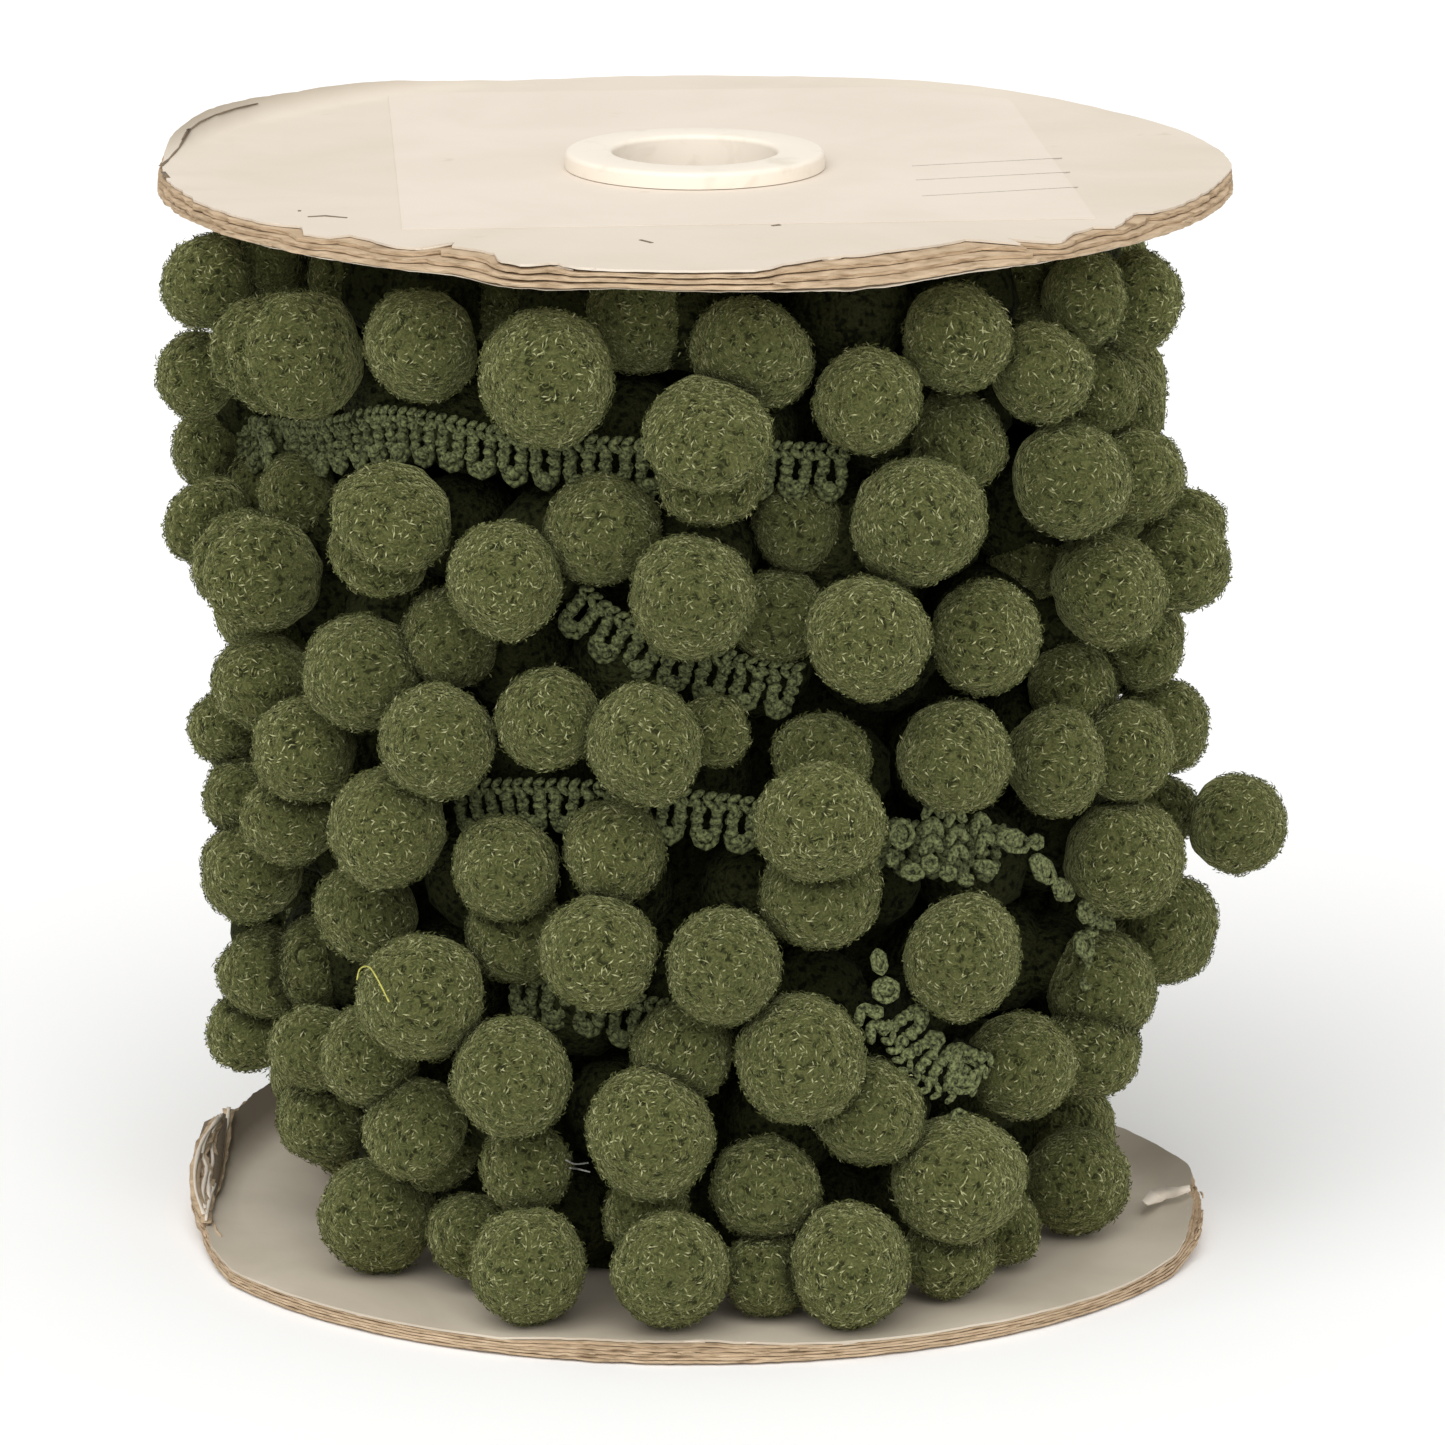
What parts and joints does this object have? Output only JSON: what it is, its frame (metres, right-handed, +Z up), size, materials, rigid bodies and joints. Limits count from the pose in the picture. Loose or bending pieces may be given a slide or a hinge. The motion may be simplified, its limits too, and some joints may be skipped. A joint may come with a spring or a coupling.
{
  "type": "pom pom trim on a reel",
  "caption": "Ball fringe trim wound on a cardboard reel: two round flanges on a paper tube, a ring collar, and courses of round pompoms on a narrow looped braid.",
  "frame": {"origin": "on the surface that the reel stands on, under the middle of the object's box; the reel's own axis is 5.5 mm to its left and 1.6 mm behind it, because one loose pompom reaches past the flanges on the right", "axes": "+Z up along the reel's axis, -Y towards the front with the trim's loose end, +X to the right, where the loose pompom stands out"},
  "size_m": [0.214, 0.2067, 0.2074],
  "materials": {
    "faced_board": "matt off-white paper facing on brown board, torn and frayed at the rim",
    "paper_tube": "matt wound brown paper",
    "collar_ring": "smooth off-white",
    "pompom_yarn": "dense cut pile, olive green",
    "braid_yarn": "looped cord braid, dark olive green"
  },
  "bodies": {
    "root": {"flange_bottom": "faced_board", "flange_top": "faced_board", "core_tube": "paper_tube", "collar_top": "collar_ring", "wound_trim": "pompom_yarn", "loose_end": "braid_yarn"}
  },
  "joints": []
}
